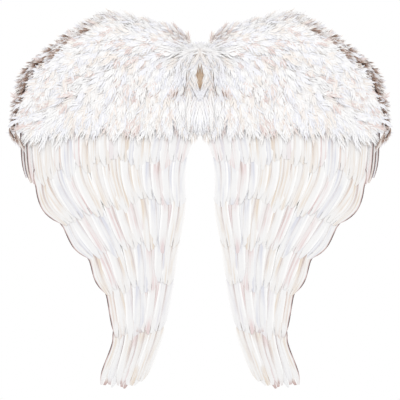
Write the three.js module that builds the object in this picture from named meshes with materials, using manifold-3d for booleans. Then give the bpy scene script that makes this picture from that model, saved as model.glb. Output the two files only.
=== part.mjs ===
// A pair of feathered costume wings, joined in the middle and worn on the back.
// Millimetres. +Z is up, the feathers face -Y, and the wearer's back lies at +Y.
// The origin is the middle of the joining panel's rear face, where the pair sits on the back.
import * as THREE from "three";
import Module from "manifold-3d";

const wasm = await Module();
wasm.setup();

// Overall size of the pair.
const HALF_SPAN = 380; // middle to the outermost down
const HEIGHT = 760; // crest to the lowest tips

// Joining panel between the wings.
const PANEL_WIDTH = 92;
const PANEL_HEIGHT = 150;
const PANEL_THICKNESS = 4;
const PANEL_CORNER = 14;

// Stiff felt behind each wing, and how far the middle of the wing swells towards the feathers.
const BACKING_THICKNESS = 3;
const CAMBER = 22;
const SEAT_GAP = 0.3; // between pieces that are glued or sewn face to face

// Strip that holds the roots of each row.
const BAND_WIDTH = 8;
const BAND_THICKNESS = 2.4;
const ROW_OVERLAP = 0.45; // of a row's visible depth, hidden under the row above
const TILT_FULL_AT = 0.4; // share of a blade's length where its side tilt is complete

// Flat feathers.
const VANE_WIDTH = 29;
const VANE_THICKNESS = 1.6;
const VANE_RISE = 8; // of the tip over the root
const VANE_TILT = 0.8; // of a side edge over the middle
const EDGE_VANE_WIDTH = 15; // of the feathers that stand nearly edge-on at the outer side
const EDGE_VANE_STEP = 7;
const EDGE_VANE_TILT = -1.6;
const EDGE_VANE_TRIM = 0.06; // share of its length that each is shorter than the one before

// Locks of down.
const DOWN_WIDTH = 40;
const DOWN_THICKNESS = 7;
const DOWN_RISE = 18;
const FIRST_DOWN_RISE = 28; // of the top row, which is short and lies over the next
const DOWN_TILT = 2;
const CREST_RISE = 11;
const CREST_LOCKS = 15;

// Elastic loops for the arms.
const STRAP_WIDTH = 25;
const STRAP_THICKNESS = 1.5;
const STRAP_SPACING = 60; // middle to middle
const STRAP_REACH = 160; // behind the panel
const STRAP_RISE = 100; // over the origin, and as far below it
const STRAP_SEWN = 24; // length of each end on the panel
const STRAP_FULLNESS = 1.22; // of the curve's handles, over the rise that they give
const STRAP_STEPS = 24;

// Lines across the right wing that the feather tips reach, from the parting of the down to the lowest tips.
// Each holds three places, as shares of the half span across and of the height up.
const TIP_LINES = [
  { inner: [0.06, 0.095], middle: [0.42, 0.147], outer: [0.77, 0.066] },
  { inner: [0.06, 0.042], middle: [0.43, 0.084], outer: [0.84, 0.01] },
  { inner: [0.062, -0.013], middle: [0.445, 0.016], outer: [0.87, -0.042] },
  { inner: [0.064, -0.063], middle: [0.455, -0.05], outer: [0.88, -0.092] },
  { inner: [0.066, -0.11], middle: [0.46, -0.113], outer: [0.885, -0.135] },
  { inner: [0.108, -0.216], middle: [0.46, -0.218], outer: [0.853, -0.258] },
  { inner: [0.11, -0.318], middle: [0.4, -0.324], outer: [0.7, -0.363] },
  { inner: [0.15, -0.429], middle: [0.337, -0.432], outer: [0.563, -0.45] },
  { inner: [0.179, -0.534], middle: [0.316, -0.537], outer: [0.474, -0.547] },
  { inner: [0.232, -0.653], middle: [0.326, -0.655], outer: [0.432, -0.658] },
  { inner: [0.32, -0.771], middle: [0.4, -0.786], outer: [0.495, -0.779] },
];

// Rows of each wing: the tip line that each reaches, how many feathers or locks it has, and of which kind.
const ROWS = [
  { name: "down_row_1", line: 1, count: 8, kind: "down", rise: FIRST_DOWN_RISE },
  { name: "down_row_2", line: 2, count: 9, kind: "down" },
  { name: "down_row_3", line: 3, count: 10, kind: "down" },
  { name: "down_row_4", line: 4, count: 11, kind: "down" },
  { name: "vane_row_1", line: 5, count: 17, kind: "vane", edgeVanes: 3 },
  { name: "vane_row_2", line: 6, count: 14, kind: "vane" },
  { name: "vane_row_3", line: 7, count: 11, kind: "vane" },
  { name: "vane_row_4", line: 8, count: 8, kind: "vane" },
  { name: "vane_row_5", line: 9, count: 6, kind: "vane" },
  { name: "vane_row_6", line: 10, count: 6, kind: "vane" },
];

// The crest: where its locks are rooted and where their tips end, from the middle round to the outer side.
const CREST = [
  { root: [0.075, 0.115], tip: [0.02, 0.118] },
  { root: [0.143, 0.144], tip: [0.095, 0.157] },
  { root: [0.268, 0.16], tip: [0.24, 0.18] },
  { root: [0.433, 0.172], tip: [0.44, 0.204] },
  { root: [0.57, 0.152], tip: [0.615, 0.181] },
  { root: [0.7, 0.11], tip: [0.765, 0.128] },
  { root: [0.81, 0.071], tip: [0.895, 0.084] },
  { root: [0.885, 0.025], tip: [0.975, 0.03] },
  { root: [0.92, -0.027], tip: [1.0, -0.045] },
  { root: [0.925, -0.078], tip: [0.99, -0.125] },
];

// Blades from root to tip: the share of the length, and the width and depth as shares of their full sizes.
const VANE_PROFILE = [
  { along: 0, width: 0.2, depth: 1 },
  { along: 0.36, width: 0.95, depth: 0.95 },
  { along: 0.88, width: 0.9, depth: 0.9 },
  { along: 1, width: 0, depth: 0 },
];
const LOCK_PROFILE = [
  { along: 0, width: 0.3, depth: 0.3 },
  { along: 0.45, width: 1, depth: 1 },
  { along: 0.8, width: 0.66, depth: 0.66 },
  { along: 1, width: 0, depth: 0 },
];

// Sections of the felt from the inner to the outer edge, as shares of the half span and of the height.
const BACKING_SECTIONS = [
  { across: 0.04, top: 0.085, bottom: -0.085 },
  { across: 0.08, top: 0.112, bottom: -0.16 },
  { across: 0.12, top: 0.13, bottom: -0.39 },
  { across: 0.19, top: 0.145, bottom: -0.545 },
  { across: 0.26, top: 0.156, bottom: -0.67 },
  { across: 0.33, top: 0.166, bottom: -0.7 },
  { across: 0.4, top: 0.176, bottom: -0.69 },
  { across: 0.47, top: 0.177, bottom: -0.53 },
  { across: 0.54, top: 0.168, bottom: -0.45 },
  { across: 0.61, top: 0.151, bottom: -0.4 },
  { across: 0.68, top: 0.126, bottom: -0.345 },
  { across: 0.75, top: 0.101, bottom: -0.3 },
  { across: 0.82, top: 0.077, bottom: -0.235 },
  { across: 0.89, top: 0.045, bottom: -0.18 },
  { across: 0.95, top: -0.01, bottom: -0.1 },
];

const white = { color: 0xf7f3f0, roughness: 0.85, metalness: 0 };
const MATERIALS = {
  vane: new THREE.MeshStandardMaterial({ ...white, roughness: 0.7 }),
  down: new THREE.MeshStandardMaterial(white),
  felt: new THREE.MeshStandardMaterial({ color: 0xf1ede6, roughness: 0.95 }),
  panel: new THREE.MeshStandardMaterial({ color: 0xcfa57a, roughness: 0.9 }),
  elastic: new THREE.MeshStandardMaterial({ color: 0xf3f1ee, roughness: 0.8 }),
};

const KINDS = {
  vane: {
    profile: VANE_PROFILE,
    width: VANE_WIDTH,
    thickness: VANE_THICKNESS,
    rise: VANE_RISE,
    tilt: VANE_TILT,
  },
  down: {
    profile: LOCK_PROFILE,
    width: DOWN_WIDTH,
    thickness: DOWN_THICKNESS,
    rise: DOWN_RISE,
    tilt: DOWN_TILT,
  },
};

const FELT_FRONT = PANEL_THICKNESS + SEAT_GAP + BACKING_THICKNESS;

// The wing is folded along upright lines at every other section of the felt, and flat between them.
const FOLDS = BACKING_SECTIONS.filter((_, i) => i % 2 === 0).map(({ across }) => {
  const x = across * HALF_SPAN;
  const share = Math.max(0, x - PANEL_WIDTH / 2) / (HALF_SPAN - PANEL_WIDTH / 2);
  return { x, swell: CAMBER * Math.sin(Math.PI * share) ** 2 };
});

// How far the wing's surface stands forward at a distance from the middle.
function swell(x) {
  const next = FOLDS.findIndex((fold) => fold.x > x);
  if (next === -1) return FOLDS[FOLDS.length - 1].swell;
  if (next === 0) return FOLDS[0].swell;
  const [a, b] = [FOLDS[next - 1], FOLDS[next]];
  return THREE.MathUtils.mapLinear(x, a.x, b.x, a.swell, b.swell);
}

// A point at a height over the felt's front face.
function onWing(x, z, height) {
  return new THREE.Vector3(x, -(FELT_FRONT + height + swell(x)), z);
}

// A place on the wing, from its shares of the half span and of the height.
function place([across, up]) {
  return new THREE.Vector3(across * HALF_SPAN, 0, up * HEIGHT);
}

// A closed body through rings of points. A ring of one point closes the body to a tip.
function loft(rings) {
  const corners = rings.flat();
  const faces = [];
  const starts = [];
  rings.reduce((start, ring) => (starts.push(start), start + ring.length), 0);
  for (let i = 0; i + 1 < rings.length; i += 1) {
    const size = rings[i].length;
    for (let a = 0; a < size; a += 1) {
      const b = (a + 1) % size;
      const [near, next] = [starts[i], starts[i + 1]];
      if (rings[i + 1].length === 1) {
        faces.push(near + a, near + b, next);
      } else {
        faces.push(near + a, near + b, next + b, near + a, next + b, next + a);
      }
    }
  }
  const cap = (start, size, turned) => {
    for (let a = 0; a + 1 < size / 2; a += 1) {
      const quad = [a, a + 1, size - 2 - a, size - 1 - a].map((n) => start + n);
      const [p, q, r, s] = turned ? quad.reverse() : quad;
      faces.push(p, r, q, p, s, r);
    }
  };
  cap(0, rings[0].length, false);
  const last = rings.length - 1;
  if (rings[last].length > 1) cap(starts[last], rings[last].length, true);
  const geometry = new THREE.BufferGeometry();
  geometry.setAttribute(
    "position",
    new THREE.Float32BufferAttribute(corners.flatMap((p) => p.toArray()), 3),
  );
  geometry.setIndex(faces);
  return geometry;
}

// Joins closed bodies into one.
function fuse(geometries) {
  const solids = geometries.map(
    (geometry) =>
      new wasm.Manifold(
        new wasm.Mesh({
          numProp: 3,
          vertProperties: new Float32Array(geometry.getAttribute("position").array),
          triVerts: new Uint32Array(geometry.index.array),
        }),
      ),
  );
  const mesh = solids.reduce((joined, solid) => joined.add(solid)).getMesh();
  const geometry = new THREE.BufferGeometry();
  geometry.setAttribute("position", new THREE.BufferAttribute(mesh.vertProperties, 3));
  geometry.setIndex(new THREE.BufferAttribute(mesh.triVerts, 1));
  return geometry;
}

// A direction along a path on the wing, and the direction across it, both in the wing's plane.
function headings(path, t) {
  const step = 0.01;
  const along = path(Math.min(1, t + step)).sub(path(Math.max(0, t - step))).normalize();
  return { along, across: new THREE.Vector3(-along.z, 0, along.x) };
}

// Height of a root's middle, so that both the strip and the root clear the felt.
function rootHeight(kind) {
  const rootThickness = kind.thickness * kind.profile[0].depth;
  return SEAT_GAP + Math.max(BAND_THICKNESS, rootThickness) / 2;
}

// One feather or lock: a thin blade along a path, highest at its tip, with one side edge over the next.
function blade(path, kind) {
  const rings = kind.profile.map(({ along: t, width, depth }) => {
    const middle = path(t);
    const height = rootHeight(kind) + kind.rise * t;
    if (width === 0) return [onWing(middle.x, middle.z, height)];
    const side = headings(path, t).across.multiplyScalar((width * kind.width) / 2);
    const tilt = kind.tilt * width * THREE.MathUtils.smoothstep(t, 0, TILT_FULL_AT);
    const half = (kind.thickness * depth) / 2;
    return [
      onWing(middle.x + side.x, middle.z + side.z, height + tilt),
      onWing(middle.x, middle.z, height + half),
      onWing(middle.x - side.x, middle.z - side.z, height - tilt),
      onWing(middle.x, middle.z, height - half),
    ];
  });
  return loft(rings);
}

// Where the straight run from root to root crosses each fold of the wing.
function foldCrossings(roots) {
  return roots.slice(1).flatMap((end, i) => {
    const start = roots[i];
    return FOLDS.filter(({ x }) => x > start.x && x < end.x).map(({ x }) =>
      start.clone().lerp(end, (x - start.x) / (end.x - start.x)),
    );
  });
}

// The strip through the roots of a row, bent at the folds, or at its roots too where it curves.
function band(roots, kind, curved = false) {
  const [first, last] = [roots[0], roots[roots.length - 1]];
  const inside = curved ? roots.slice(1, -1) : [];
  const stops = [first, ...inside, ...foldCrossings(roots), last].sort((a, b) => a.x - b.x);
  const middle = rootHeight(kind);
  const [low, high] = [middle - BAND_THICKNESS / 2, middle + BAND_THICKNESS / 2];
  const rings = stops.map((stop, i) => {
    const run = stops[Math.min(stops.length - 1, i + 1)].clone();
    run.sub(stops[Math.max(0, i - 1)]).normalize();
    const past = (BAND_WIDTH / 2) * ((stop === last) - (stop === first));
    const { x, z } = stop.clone().addScaledVector(run, past);
    const side = new THREE.Vector3(-run.z, 0, run.x).multiplyScalar(BAND_WIDTH / 2);
    return [
      onWing(x + side.x, z + side.z, high),
      onWing(x - side.x, z - side.z, high),
      onWing(x - side.x, z - side.z, low),
      onWing(x + side.x, z + side.z, low),
    ];
  });
  return loft(rings);
}

const lineCurves = TIP_LINES.map(
  (line) =>
    new THREE.CatmullRomCurve3([place(line.inner), place(line.middle), place(line.outer)]),
);

// The path that feathers follow down the wing at a share of its width, through all the tip lines.
function flowLine(share) {
  const curve = new THREE.CatmullRomCurve3(lineCurves.map((line) => line.getPoint(share)));
  return (line) => curve.getPoint(line / (TIP_LINES.length - 1));
}

// Feathers of one row, with the strip that holds their roots.
function featherRow(row) {
  const kind = { ...KINDS[row.kind], rise: row.rise ?? KINDS[row.kind].rise };
  const start = Math.max(0, row.line - 1 - ROW_OVERLAP);
  const paths = Array.from({ length: row.count }, (_, j) => {
    const flow = flowLine(j / (row.count - 1));
    return (t) => flow(THREE.MathUtils.lerp(start, row.line, t));
  });
  const edgeKind = { ...kind, width: EDGE_VANE_WIDTH, tilt: EDGE_VANE_TILT };
  const outermost = paths[paths.length - 1];
  const edgePaths = Array.from({ length: row.edgeVanes ?? 0 }, (_, j) => (t) => {
    const reach = EDGE_VANE_STEP * (j + 1);
    const { across } = headings(outermost, t);
    return outermost(t * (1 - EDGE_VANE_TRIM * (j + 1))).addScaledVector(across, reach);
  });
  const blades = [
    ...paths.map((path) => blade(path, kind)),
    ...edgePaths.map((path) => blade(path, edgeKind)),
  ];
  const roots = [...paths, ...edgePaths].map((path) => path(0));
  return fuse([band(roots, kind), ...blades]);
}

// Locks round the crest and the outer side of a wing, pointing outwards.
function crestRow() {
  const kind = { ...KINDS.down, rise: CREST_RISE };
  const rootCurve = new THREE.CatmullRomCurve3(CREST.map((spoke) => place(spoke.root)));
  const tipCurve = new THREE.CatmullRomCurve3(CREST.map((spoke) => place(spoke.tip)));
  const shares = Array.from({ length: CREST_LOCKS }, (_, j) => j / (CREST_LOCKS - 1));
  const blades = shares.map((share) => {
    const root = rootCurve.getPoint(share);
    const tip = tipCurve.getPoint(share);
    return blade((t) => root.clone().lerp(tip, t), kind);
  });
  const roots = shares.map((share) => rootCurve.getPoint(share));
  return fuse([band(roots, kind, true), ...blades]);
}

// The felt behind a wing, folded along the wing's upright lines.
function feltBacking() {
  const rings = BACKING_SECTIONS.map(({ across, top, bottom }) => {
    const [x, high, low] = [across * HALF_SPAN, top * HEIGHT, bottom * HEIGHT];
    return [
      onWing(x, high, 0),
      onWing(x, low, 0),
      onWing(x, low, -BACKING_THICKNESS),
      onWing(x, high, -BACKING_THICKNESS),
    ];
  });
  return loft(rings);
}

// The stiff panel that joins the wings, its rear face on the origin.
function joiningPanel() {
  const [x, z, r] = [PANEL_WIDTH / 2, PANEL_HEIGHT / 2, PANEL_CORNER];
  const outline = new THREE.Shape()
    .moveTo(-x + r, -z)
    .lineTo(x - r, -z)
    .absarc(x - r, -z + r, r, -Math.PI / 2, 0)
    .lineTo(x, z - r)
    .absarc(x - r, z - r, r, 0, Math.PI / 2)
    .lineTo(-x + r, z)
    .absarc(-x + r, z - r, r, Math.PI / 2, Math.PI)
    .lineTo(-x, -z + r)
    .absarc(-x + r, -z + r, r, Math.PI, Math.PI * 1.5);
  return new THREE.ExtrudeGeometry(outline, {
    depth: PANEL_THICKNESS,
    bevelEnabled: false,
    curveSegments: 4,
  }).rotateX(Math.PI / 2);
}

// An elastic loop for one arm: both ends sewn flat to the panel, the middle standing out behind it.
function armLoop() {
  const seat = SEAT_GAP + STRAP_THICKNESS / 2;
  const end = PANEL_HEIGHT / 2 - PANEL_CORNER;
  const at = (y, z) => new THREE.Vector3(0, y, z);
  const arc = (turn) =>
    new THREE.CubicBezierCurve3(
      at(seat, turn * end),
      at(seat, turn * STRAP_RISE * STRAP_FULLNESS),
      at(STRAP_REACH, turn * STRAP_RISE * STRAP_FULLNESS),
      at(STRAP_REACH, 0),
    );
  const lower = arc(-1);
  const loop = new THREE.CurvePath();
  loop.add(new THREE.LineCurve3(at(seat, end - STRAP_SEWN), at(seat, end)));
  loop.add(arc(1));
  loop.add(new THREE.CubicBezierCurve3(lower.v3, lower.v2, lower.v1, lower.v0));
  loop.add(new THREE.LineCurve3(at(seat, -end), at(seat, STRAP_SEWN - end)));
  const rings = Array.from({ length: STRAP_STEPS + 1 }, (_, i) => {
    const middle = loop.getPoint(i / STRAP_STEPS);
    const along = loop.getTangent(i / STRAP_STEPS);
    const out = new THREE.Vector3(0, along.z, -along.y).multiplyScalar(STRAP_THICKNESS / 2);
    const side = new THREE.Vector3(STRAP_WIDTH / 2, 0, 0);
    return [
      middle.clone().add(side).add(out),
      middle.clone().sub(side).add(out),
      middle.clone().sub(side).sub(out),
      middle.clone().add(side).sub(out),
    ];
  });
  return loft(rings);
}

function named(name, geometry, material) {
  const mesh = new THREE.Mesh(geometry, material);
  mesh.name = name;
  return mesh;
}

const wingPieces = [
  ["backing", feltBacking(), MATERIALS.felt],
  ["crest_down", crestRow(), MATERIALS.down],
  ...ROWS.map((row) => [row.name, featherRow(row), MATERIALS[row.kind]]),
];

// One wing; the left one is the right one mirrored.
function wing(side, mirror) {
  const group = new THREE.Group();
  group.scale.x = mirror;
  for (const [name, geometry, material] of wingPieces) {
    group.add(named(`${side}_${name}`, geometry, material));
  }
  const strap = named(`${side}_arm_loop`, armLoop(), MATERIALS.elastic);
  strap.position.x = STRAP_SPACING / 2;
  group.add(strap);
  return group;
}

const wings = new THREE.Group();
wings.add(named("joining_panel", joiningPanel(), MATERIALS.panel));
wings.add(wing("right", 1));
wings.add(wing("left", -1));

export default wings;
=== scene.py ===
"""A pair of feathered costume wings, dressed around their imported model.

Metres, +Z up. The feathers face -Y, the wearer's back lies at +Y, and the origin is the middle of the
joining panel's rear face. Heights over a wing run from its felt towards the viewer. Both wings are made
from the same places, and the left one is mirrored.
"""

import enum
import logging
import math
from collections.abc import Callable
from dataclasses import dataclass, field

import bmesh
import bpy
import numpy as np
from mathutils import Matrix, Vector


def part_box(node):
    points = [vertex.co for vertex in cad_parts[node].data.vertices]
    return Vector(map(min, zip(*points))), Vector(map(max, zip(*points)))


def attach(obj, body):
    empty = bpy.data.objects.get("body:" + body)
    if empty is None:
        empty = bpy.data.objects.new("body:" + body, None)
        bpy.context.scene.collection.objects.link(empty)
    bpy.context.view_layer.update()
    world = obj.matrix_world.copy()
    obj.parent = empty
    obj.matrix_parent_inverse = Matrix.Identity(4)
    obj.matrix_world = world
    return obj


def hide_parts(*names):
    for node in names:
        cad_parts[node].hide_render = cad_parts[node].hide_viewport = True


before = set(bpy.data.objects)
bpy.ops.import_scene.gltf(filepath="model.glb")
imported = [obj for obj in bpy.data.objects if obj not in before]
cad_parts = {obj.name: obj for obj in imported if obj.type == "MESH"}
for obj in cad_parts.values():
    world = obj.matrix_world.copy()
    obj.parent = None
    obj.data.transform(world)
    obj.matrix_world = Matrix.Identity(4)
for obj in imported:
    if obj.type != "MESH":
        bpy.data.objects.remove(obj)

LOG = logging.getLogger("wings")
BODY = "root"
MM = 0.001

# A feather's line on the wing: how many samples it has, how far its last stretch runs on past the tip, and
# the share of it that the row above covers.
ROUTE_SAMPLES = 40
ROUTE_OVERRUN = 0.1
ROUTE_COVERED = 0.3

# Lines across the right wing that the feather tips reach, from the parting of the down to the lowest tips,
# as shares of the half span across and of the height up.
TIP_LINES = (
    ((0.06, 0.095), (0.42, 0.147), (0.77, 0.066)),
    ((0.06, 0.042), (0.43, 0.084), (0.84, 0.01)),
    ((0.062, -0.013), (0.445, 0.016), (0.87, -0.042)),
    ((0.064, -0.063), (0.455, -0.05), (0.88, -0.092)),
    ((0.066, -0.11), (0.46, -0.113), (0.885, -0.135)),
    ((0.108, -0.216), (0.46, -0.218), (0.853, -0.258)),
    ((0.11, -0.318), (0.4, -0.324), (0.7, -0.363)),
    ((0.15, -0.429), (0.337, -0.432), (0.563, -0.45)),
    ((0.179, -0.534), (0.316, -0.537), (0.474, -0.547)),
    ((0.232, -0.653), (0.326, -0.655), (0.432, -0.658)),
    ((0.32, -0.771), (0.4, -0.786), (0.495, -0.779)),
)
LAST_LINE = len(TIP_LINES) - 1
LAST_DOWN_LINE = 4

# The crest: where its down is rooted and where its tips end, from the middle round to the outer side.
CREST_ROOTS = (
    (0.075, 0.115), (0.143, 0.144), (0.268, 0.16), (0.433, 0.172), (0.57, 0.152),
    (0.7, 0.11), (0.81, 0.071), (0.885, 0.025), (0.92, -0.027), (0.925, -0.078),
)
CREST_TIPS = (
    (0.02, 0.118), (0.095, 0.157), (0.24, 0.18), (0.44, 0.204), (0.615, 0.181),
    (0.765, 0.128), (0.895, 0.084), (0.975, 0.03), (1.0, -0.045), (0.99, -0.125),
)

# Sections of the felt from its inner to its outer edge: share across, top and bottom.
FELT_SECTIONS = (
    (0.04, 0.085, -0.085), (0.08, 0.112, -0.16), (0.12, 0.13, -0.39), (0.19, 0.145, -0.545),
    (0.26, 0.156, -0.67), (0.33, 0.166, -0.7), (0.4, 0.176, -0.69), (0.47, 0.177, -0.53),
    (0.54, 0.168, -0.45), (0.61, 0.151, -0.4), (0.68, 0.126, -0.345), (0.75, 0.101, -0.3),
    (0.82, 0.077, -0.235), (0.89, 0.045, -0.18), (0.95, -0.01, -0.1),
)


class Side(enum.Enum):
    """The two wings, as seen from the feathered side."""

    RIGHT = 1
    LEFT = -1

    @property
    def word(self) -> str:
        """The side's name in the names of pieces."""
        return self.name.lower()


def through(points: np.ndarray, share: np.ndarray) -> np.ndarray:
    """Reads a smooth curve that passes through points.

    Args:
        points: The points, one a row.
        share: How far along the curve, from 0 to 1.

    Returns:
        A place for each share.
    """
    points = np.asarray(points, float)
    last = len(points) - 1
    padded = np.vstack([2 * points[0] - points[1], points, 2 * points[-1] - points[-2]])
    scaled = np.clip(share, 0, 1) * last
    first = np.minimum(scaled.astype(int), last - 1)
    t = (scaled - first)[..., None]
    a, b, c, d = (padded[first + k] for k in range(4))
    cubic = (2 * b, c - a, 2 * a - 5 * b + 4 * c - d, 3 * b - a - 3 * c + d)
    return 0.5 * sum(part * t**power for power, part in enumerate(cubic))


def smoothstep(x: np.ndarray, low: float, high: float) -> np.ndarray:
    """A soft step from 0 at low to 1 at high."""
    t = np.clip((x - low) / (high - low), 0, 1)
    return t * t * (3 - 2 * t)


@dataclass(frozen=True)
class WingSheet:
    """The gently swelling surface that a wing's felt and feathers follow."""

    half_span: float = 380 * MM
    height: float = 760 * MM
    felt_front: float = 7.3 * MM
    camber: float = 22 * MM
    flat_until: float = 46 * MM

    def place(self, shares: tuple) -> np.ndarray:
        """Places on the wing, x and z, from their shares of the half span and of the height."""
        return np.asarray(shares, float) * (self.half_span, self.height)

    def swell(self, x: np.ndarray) -> np.ndarray:
        """How far the wing stands forward at a distance from the middle."""
        share = np.maximum(0, x - self.flat_until) / (self.half_span - self.flat_until)
        return self.camber * np.sin(math.pi * np.minimum(share, 1)) ** 2

    def on_wing(self, x: np.ndarray, z: np.ndarray, height: np.ndarray) -> np.ndarray:
        """Points at heights over the felt's front face."""
        return np.stack([x, -(self.felt_front + height + self.swell(x)), z], axis=-1)


SHEET = WingSheet()


@dataclass(frozen=True)
class Template:
    """A small shape whose copies are joined into a piece."""

    points: np.ndarray
    quads: np.ndarray
    triangles: np.ndarray

    @classmethod
    def from_bmesh(cls, bm: bmesh.types.BMesh) -> "Template":
        """Reads a bmesh of quads and triangles, and frees it."""
        bm.verts.index_update()
        points = np.array([v.co[:] for v in bm.verts])
        loops = [[v.index for v in face.verts] for face in bm.faces]
        bm.free()
        quads = [loop for loop in loops if len(loop) == 4]
        triangles = [loop for loop in loops if len(loop) == 3]
        return cls(points, np.array(quads, int).reshape(-1, 4), np.array(triangles, int).reshape(-1, 3))

    @classmethod
    def grid(cls, across: int, along: int) -> "Template":
        """A flat sheet of quads, from 0 to 1 both ways in its first two coordinates."""
        bm = bmesh.new()
        bmesh.ops.create_grid(bm, x_segments=across, y_segments=along, size=0.5)
        bmesh.ops.translate(bm, vec=(0.5, 0.5, 0), verts=bm.verts)
        return cls.from_bmesh(bm)

    @classmethod
    def rod(cls, sides: int, lengths: int) -> "Template":
        """A closed straight rod of radius 1, from 0 to 1 along Z."""
        bm = bmesh.new()
        bmesh.ops.create_cone(
            bm, cap_ends=True, cap_tris=sides > 4, segments=sides, radius1=1, radius2=1, depth=1
        )
        bmesh.ops.translate(bm, vec=(0, 0, 0.5), verts=bm.verts)
        rising = [e for e in bm.edges if abs(e.verts[0].co.z - e.verts[1].co.z) > 0.5]
        bmesh.ops.subdivide_edges(bm, edges=rising, cuts=lengths - 1, use_grid_fill=True)
        return cls.from_bmesh(bm)

    @classmethod
    def stitch(cls) -> "Template":
        """A closed grain of thread, 1 long in X and of radius 0.5."""
        bm = bmesh.new()
        bmesh.ops.create_uvsphere(bm, u_segments=8, v_segments=5, radius=0.5)
        bmesh.ops.rotate(bm, matrix=Matrix.Rotation(math.pi / 2, 3, "Y"), verts=bm.verts)
        return cls.from_bmesh(bm)


@dataclass
class Stock:
    """Placed copies of templates, gathered to be joined into one mesh."""

    points: list = field(default_factory=list)
    quads: list = field(default_factory=list)
    triangles: list = field(default_factory=list)
    lay: list = field(default_factory=list)
    tone: list = field(default_factory=list)
    count: int = 0

    def add(self, points: np.ndarray, template: Template, lay: np.ndarray, tone: tuple) -> None:
        """Adds one copy.

        Args:
            points: The template's points, where they lie on the wing.
            template: What the copy was made from.
            lay: Millimetres across and along the copy, and its own number, for each point.
            tone: Tint, painted shade and shaft (painted shadow beside a quill, or painted shade near a
                plume's root), each a number or one for each point.
        """
        self.points.append(points)
        self.quads.append(template.quads + self.count)
        self.triangles.append(template.triangles + self.count)
        self.lay.append(lay)
        self.tone.append(np.stack([np.broadcast_to(part, len(points)) for part in tone], axis=-1))
        self.count += len(points)

    def piece(
        self, name: str, side: Side, material: bpy.types.Material, smooth: bool = True
    ) -> bpy.types.Object:
        """Joins the copies into an object, mirrored for the left wing.

        Args:
            name: The piece's name.
            side: The wing it belongs to.
            material: Its finish.
            smooth: Whether its faces are shaded as one curved surface.

        Returns:
            The new object, which rides on the body.
        """
        points = np.concatenate(self.points)
        quads, triangles = np.concatenate(self.quads), np.concatenate(self.triangles)
        if side is Side.LEFT:
            points = points * (-1, 1, 1)
            quads, triangles = quads[:, ::-1], triangles[:, ::-1]
        corners = np.concatenate([quads.ravel(), triangles.ravel()])
        starts = np.concatenate(
            [np.arange(len(quads)) * 4, len(quads) * 4 + np.arange(len(triangles)) * 3]
        )
        mesh = bpy.data.meshes.new(name)
        mesh.vertices.add(len(points))
        mesh.vertices.foreach_set("co", points.ravel())
        mesh.loops.add(len(corners))
        mesh.polygons.add(len(starts))
        mesh.polygons.foreach_set("loop_start", starts)
        mesh.polygons.foreach_set("vertices", corners)
        mesh.update(calc_edges=True)
        mesh.validate()
        for mark, values in (("lay", self.lay), ("tone", self.tone)):
            attribute = mesh.attributes.new(mark, "FLOAT_VECTOR", "POINT")
            attribute.data.foreach_set("vector", np.concatenate(values).ravel())
        return finished(name, mesh, material, smooth)


def finished(
    name: str, mesh: bpy.types.Mesh, material: bpy.types.Material, smooth: bool = True
) -> bpy.types.Object:
    """Makes an object of a mesh and lets it ride on the body.

    Args:
        name: The piece's name.
        mesh: Its mesh.
        material: Its finish.
        smooth: Whether its faces are shaded as one curved surface.

    Returns:
        The new object.
    """
    if smooth:
        mesh.shade_smooth()
    else:
        mesh.shade_flat()
    mesh.materials.append(material)
    piece = bpy.data.objects.new(name, mesh)
    bpy.context.scene.collection.objects.link(piece)
    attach(piece, BODY)
    return piece


def thicken(piece: bpy.types.Object, thickness: float) -> None:
    """Gives a sheet its thickness to both sides, and shades it flat up to its thin edges.

    Args:
        piece: The sheet.
        thickness: Its thickness in metres.
    """
    wall = piece.modifiers.new("thickness", "SOLIDIFY")
    wall.thickness = thickness
    wall.offset = 0.0
    piece.modifiers.new("flat_to_the_edge", "WEIGHTED_NORMAL").mode = "FACE_AREA"


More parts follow.
